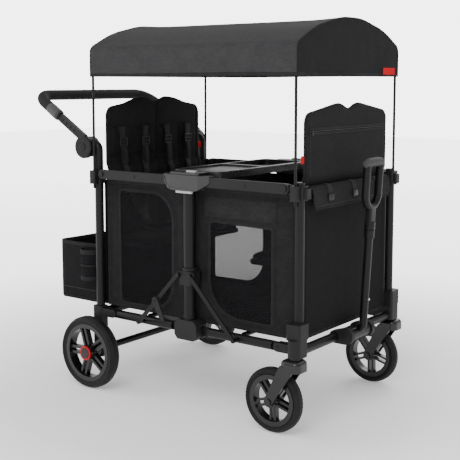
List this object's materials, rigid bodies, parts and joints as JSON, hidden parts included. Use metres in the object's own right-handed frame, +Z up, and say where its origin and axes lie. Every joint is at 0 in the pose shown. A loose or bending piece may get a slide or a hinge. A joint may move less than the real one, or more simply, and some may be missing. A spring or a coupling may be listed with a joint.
{
  "type": "folding kids pull wagon",
  "caption": "Folding two-seat kids wagon with canopy, push handle, telescoping pull handle, caster front wheels, side windows, snack tray and rear basket.",
  "frame": {"origin": "on the floor under the middle of the overall length and width", "axes": "+X forward to the pull-handle end, +Y to the left side, +Z up"},
  "size_m": [1.2714, 0.746, 1.2795],
  "materials": {
    "frame_metal": "satin powder coat",
    "axle_steel": "brushed",
    "moulding": "fine texture",
    "gloss_moulding": "semi-gloss",
    "tyre_rubber": "matte rubber",
    "grip_foam": "matte foam",
    "red_trim": "satin",
    "grey_moulding": "satin",
    "wall_fabric": "woven polyester",
    "canopy_fabric": "woven polyester"
  },
  "bodies": {
    "rear_frame": {"rear_end_frame": "frame_metal", "rear_castings": "moulding", "rear_corner_brackets": "moulding", "rear_axle": "frame_metal", "handle_pivot_housings": "moulding", "rear_end_panel": "wall_fabric", "rear_seat_back": "wall_fabric", "storage_basket": "wall_fabric", "rear_side_panels": "wall_fabric"},
    "rear_seat": {"rear_seat_pan": "wall_fabric"},
    "brake": {"brake_pedal": "moulding"},
    "rear_canopy_frame": {"rear_canopy_hoop": "frame_metal", "canopy_cover": "canopy_fabric"},
    "push_handle": {"push_handle_arms": "moulding", "push_handle_bar": "frame_metal", "push_handle_grip": "grip_foam"},
    "pivot_button_left": {"pivot_button_left": "moulding"},
    "pivot_button_right": {"pivot_button_right": "moulding"},
    "rear_wheel_left": {"rear_wheel_left": "gloss_moulding", "rear_tyre_left": "tyre_rubber", "rear_hub_ring_left": "red_trim"},
    "rear_wheel_right": {"rear_wheel_right": "gloss_moulding", "rear_tyre_right": "tyre_rubber", "rear_hub_ring_right": "red_trim"},
    "rear_top_rails": {"rear_top_rails": "frame_metal"},
    "center": {"center_posts": "frame_metal", "center_hubs": "moulding", "lower_hubs": "moulding", "snack_tray": "gloss_moulding"},
    "tray_latches": {"tray_latches": "grey_moulding"},
    "fold_release": {"fold_release": "grey_moulding"},
    "rear_bottom_rails": {"rear_bottom_rails": "frame_metal", "rear_floor_board": "moulding"},
    "front_bottom_rails": {"front_bottom_rails": "frame_metal", "front_floor_board": "moulding"},
    "brace_collars": {"brace_collars": "moulding"},
    "front_braces": {"front_braces": "frame_metal"},
    "rear_braces": {"rear_braces": "frame_metal"},
    "fold_lock_lever": {"fold_lock_lever": "moulding"},
    "front_top_rails": {"front_top_rails": "frame_metal"},
    "front_frame": {"front_end_frame": "frame_metal", "front_castings": "moulding", "front_corner_brackets": "moulding", "pull_handle_mount": "moulding", "front_end_panel": "wall_fabric", "front_pocket_flap": "wall_fabric", "front_seat_back": "wall_fabric", "front_side_panels": "wall_fabric"},
    "front_seat": {"front_seat_pan": "wall_fabric"},
    "front_canopy_frame": {"front_canopy_hoop": "frame_metal"},
    "caster_left": {"caster_fork_left": "gloss_moulding"},
    "caster_right": {"caster_fork_right": "gloss_moulding"},
    "caster_wheel_left": {"caster_wheel_left": "gloss_moulding", "caster_tyre_left": "tyre_rubber"},
    "caster_wheel_right": {"caster_wheel_right": "gloss_moulding", "caster_tyre_right": "tyre_rubber"},
    "pull_handle": {"pull_handle_tube": "frame_metal"},
    "snap_button": {"snap_button": "axle_steel"},
    "pull_grip": {"pull_grip_yoke": "moulding", "pull_grip_bar": "grip_foam"}
  },
  "joints": [
    {"name": "fold", "type": "hinge", "parent": "rear_frame", "child": "rear_top_rails", "pos_m": [-0.26874, 0, 0.757], "axis": [0, -1, 0], "range_deg": [0, 72], "deforming": ["canopy_cover", "front_side_panels", "rear_side_panels"]},
    {"name": "center_fold", "type": "hinge", "parent": "rear_top_rails", "child": "center", "pos_m": [0.05126, 0, 0.757], "axis": [0, 1, 0], "range_deg": [0, 72]},
    {"name": "front_rail_fold", "type": "hinge", "parent": "center", "child": "front_top_rails", "pos_m": [0.17126, 0, 0.757], "axis": [0, 1, 0], "range_deg": [0, 72]},
    {"name": "front_frame_fold", "type": "hinge", "parent": "front_top_rails", "child": "front_frame", "pos_m": [0.49126, 0, 0.757], "axis": [0, -1, 0], "range_deg": [0, 72]},
    {"name": "rear_floor_fold", "type": "hinge", "parent": "rear_frame", "child": "rear_bottom_rails", "pos_m": [-0.23674, 0, 0.265], "axis": [0, -1, 0], "range_deg": [0, 72]},
    {"name": "front_floor_fold", "type": "hinge", "parent": "center", "child": "front_bottom_rails", "pos_m": [0.13926, 0, 0.265], "axis": [0, 1, 0], "range_deg": [0, 72]},
    {"name": "collar_slide", "type": "slide", "parent": "center", "child": "brace_collars", "axis": [0, 0, -1], "range_m": [0, 0.10019]},
    {"name": "front_brace_fold", "type": "hinge", "parent": "brace_collars", "child": "front_braces", "pos_m": [0.13626, 0, 0.45], "axis": [0, 1, 0], "range_deg": [0, 30.68]},
    {"name": "rear_brace_fold", "type": "hinge", "parent": "brace_collars", "child": "rear_braces", "pos_m": [0.08626, 0, 0.45], "axis": [0, -1, 0], "range_deg": [0, 30.68]},
    {"name": "rear_seat_fold", "type": "hinge", "parent": "rear_frame", "child": "rear_seat", "pos_m": [-0.27574, 0, 0.54], "axis": [0, -1, 0], "range_deg": [0, 85]},
    {"name": "front_seat_fold", "type": "hinge", "parent": "front_frame", "child": "front_seat", "pos_m": [0.49826, 0, 0.54], "axis": [0, 1, 0], "range_deg": [0, 85]},
    {"name": "canopy_lift", "type": "slide", "parent": "rear_frame", "child": "rear_canopy_frame", "axis": [0, 0, 1], "range_m": [0, 0.05]},
    {"name": "front_canopy_lift", "type": "slide", "parent": "front_frame", "child": "front_canopy_frame", "axis": [0, 0, 1], "range_m": [0, 0.05]},
    {"name": "push_handle_tilt", "type": "hinge", "parent": "rear_frame", "child": "push_handle", "pos_m": [-0.35274, 0, 0.848], "axis": [0, 1, 0], "range_deg": [-80, 50]},
    {"name": "pivot_button_left_press", "type": "slide", "parent": "push_handle", "child": "pivot_button_left", "axis": [0, -1, 0], "range_m": [0, 0.0035], "stiffness_N_per_m": 1200},
    {"name": "pivot_button_right_press", "type": "slide", "parent": "push_handle", "child": "pivot_button_right", "axis": [0, 1, 0], "range_m": [0, 0.0035], "stiffness_N_per_m": 1200},
    {"name": "rear_wheel_left_spin", "type": "hinge", "parent": "rear_frame", "child": "rear_wheel_left", "pos_m": [-0.30774, 0.344, 0.127], "axis": [0, 1, 0], "continuous": true},
    {"name": "rear_wheel_right_spin", "type": "hinge", "parent": "rear_frame", "child": "rear_wheel_right", "pos_m": [-0.30774, -0.344, 0.127], "axis": [0, 1, 0], "continuous": true},
    {"name": "brake_press", "type": "hinge", "parent": "rear_frame", "child": "brake", "pos_m": [-0.30774, 0, 0.127], "axis": [0, -1, 0], "range_deg": [0, 18]},
    {"name": "tray_latch_slide", "type": "slide", "parent": "center", "child": "tray_latches", "axis": [-1, 0, 0], "range_m": [0, 0.008]},
    {"name": "fold_release_lift", "type": "slide", "parent": "center", "child": "fold_release", "axis": [0, 0, 1], "range_m": [0, 0.0055], "stiffness_N_per_m": 900},
    {"name": "lock_lever_turn", "type": "hinge", "parent": "rear_braces", "child": "fold_lock_lever", "pos_m": [-0.00674, 0, 0.352], "axis": [0, -1, 0], "range_deg": [0, 25]},
    {"name": "caster_left_swivel", "type": "hinge", "parent": "front_frame", "child": "caster_left", "pos_m": [0.53126, 0.312, 0.24], "axis": [0, 0, 1], "continuous": true},
    {"name": "caster_right_swivel", "type": "hinge", "parent": "front_frame", "child": "caster_right", "pos_m": [0.53126, -0.312, 0.24], "axis": [0, 0, 1], "continuous": true},
    {"name": "caster_wheel_left_spin", "type": "hinge", "parent": "caster_left", "child": "caster_wheel_left", "pos_m": [0.45526, 0.312, 0.1016], "axis": [0, 1, 0], "continuous": true},
    {"name": "caster_wheel_right_spin", "type": "hinge", "parent": "caster_right", "child": "caster_wheel_right", "pos_m": [0.45526, -0.312, 0.1016], "axis": [0, 1, 0], "continuous": true},
    {"name": "pull_handle_tilt", "type": "hinge", "parent": "front_frame", "child": "pull_handle", "pos_m": [0.56726, 0, 0.266], "axis": [0, 1, 0], "range_deg": [0, 95]},
    {"name": "pull_handle_extend", "type": "slide", "parent": "pull_handle", "child": "pull_grip", "axis": [0.0572, 0, 0.9984], "range_m": [0, 0.2]},
    {"name": "snap_button_press", "type": "slide", "parent": "pull_handle", "child": "snap_button", "axis": [-0.9984, 0, 0.0572], "range_m": [0, 0.0025], "stiffness_N_per_m": 500}
  ],
  "couplings": [
    {"joint": "center_fold", "follows": "fold", "ratio": 1},
    {"joint": "front_rail_fold", "follows": "fold", "ratio": 1},
    {"joint": "front_frame_fold", "follows": "fold", "ratio": 1},
    {"joint": "rear_floor_fold", "follows": "fold", "ratio": 1},
    {"joint": "front_floor_fold", "follows": "fold", "ratio": 1},
    {"joint": "collar_slide", "follows": "fold", "m_per_rad": 0.07973},
    {"joint": "front_brace_fold", "follows": "fold", "ratio": 0.42598},
    {"joint": "rear_brace_fold", "follows": "fold", "ratio": 0.42598},
    {"joint": "rear_seat_fold", "follows": "fold", "ratio": 1.18},
    {"joint": "front_seat_fold", "follows": "fold", "ratio": 1.18},
    {"joint": "front_canopy_lift", "follows": "canopy_lift", "ratio": 1}
  ]
}
